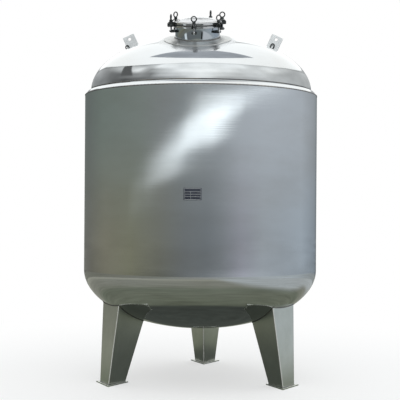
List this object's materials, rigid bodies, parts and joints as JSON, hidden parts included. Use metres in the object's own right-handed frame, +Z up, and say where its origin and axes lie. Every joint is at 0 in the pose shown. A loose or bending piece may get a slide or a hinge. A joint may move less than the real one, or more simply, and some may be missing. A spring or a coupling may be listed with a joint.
{
  "type": "vertical storage tank",
  "caption": "Vertical jacketed stainless storage tank on tapered legs, with a bolted manway and lifting lugs on its domed top.",
  "frame": {"origin": "on the tank's vertical axis at floor level, under the base plates", "axes": "+Z up along the tank's axis, -Y towards the side the manway is set on, +X to the right seen from there"},
  "size_m": [2, 2.0018, 3.1083],
  "materials": {
    "polished_steel": "polished to a soft mirror",
    "satin_steel": "satin, ground welds",
    "bright_steel": "bright machined",
    "leg_steel": "polished folded plate",
    "dark_steel": "forged, dull and darkened by handling",
    "black_seal": "matt black",
    "dark_plate": "dark enamel, semi gloss"
  },
  "bodies": {
    "tank": {"jacket_shell": "polished_steel", "jacket_bottom_head": "polished_steel", "jacket_closing_ring": "polished_steel", "vessel_shell": "satin_steel", "vessel_bottom_head": "satin_steel", "top_head": "polished_steel", "manway_pad": "satin_steel", "manway_neck": "satin_steel", "manway_flange": "bright_steel", "manway_gasket": "black_seal", "manway_lid": "bright_steel", "bolt_bracket_1": "dark_steel", "bolt_bracket_2": "dark_steel", "bolt_bracket_3": "dark_steel", "bolt_bracket_4": "dark_steel", "bolt_bracket_5": "dark_steel", "bolt_bracket_6": "dark_steel", "lifting_lug_left": "satin_steel", "lifting_lug_right": "satin_steel", "rod_loop_left": "dark_steel", "rod_loop_right": "dark_steel", "leg_front_left": "leg_steel", "leg_front_right": "leg_steel", "leg_rear": "leg_steel", "base_plate_front_left": "leg_steel", "base_plate_front_right": "leg_steel", "base_plate_rear": "leg_steel", "data_plate": "dark_plate"},
    "clamp_1": {"swing_bolt_1": "bright_steel", "eye_nut_1": "dark_steel"},
    "clamp_2": {"swing_bolt_2": "bright_steel", "eye_nut_2": "dark_steel"},
    "clamp_3": {"swing_bolt_3": "bright_steel", "eye_nut_3": "dark_steel"},
    "clamp_4": {"swing_bolt_4": "bright_steel", "eye_nut_4": "dark_steel"},
    "clamp_5": {"swing_bolt_5": "bright_steel", "eye_nut_5": "dark_steel"},
    "clamp_6": {"swing_bolt_6": "bright_steel", "eye_nut_6": "dark_steel"}
  },
  "joints": [
    {"name": "swing_bolt_1_pivot", "type": "hinge", "parent": "tank", "child": "clamp_1", "pos_m": [-0.01343, -0.74678, 2.85404], "axis": [0.9981, -0.0584, -0.0178], "range_deg": [0, 100]},
    {"name": "swing_bolt_2_pivot", "type": "hinge", "parent": "tank", "child": "clamp_2", "pos_m": [0.17911, -0.65896, 2.88089], "axis": [0.5807, 0.7785, 0.238], "range_deg": [0, 100]},
    {"name": "swing_bolt_3_pivot", "type": "hinge", "parent": "tank", "child": "clamp_3", "pos_m": [0.19939, -0.44787, 2.94542], "axis": [-0.4226, 0.8667, 0.265], "range_deg": [0, 100]},
    {"name": "swing_bolt_4_pivot", "type": "hinge", "parent": "tank", "child": "clamp_4", "pos_m": [0.09816, -0.34851, 2.9758], "axis": [-0.8949, 0.4267, 0.1305], "range_deg": [0, 100]},
    {"name": "swing_bolt_5_pivot", "type": "hinge", "parent": "tank", "child": "clamp_5", "pos_m": [-0.18657, -0.4253, 2.95232], "axis": [-0.5299, -0.811, -0.2479], "range_deg": [0, 100]},
    {"name": "swing_bolt_6_pivot", "type": "hinge", "parent": "tank", "child": "clamp_6", "pos_m": [-0.20923, -0.6018, 2.89836], "axis": [0.309, -0.9095, -0.2781], "range_deg": [0, 100]}
  ]
}
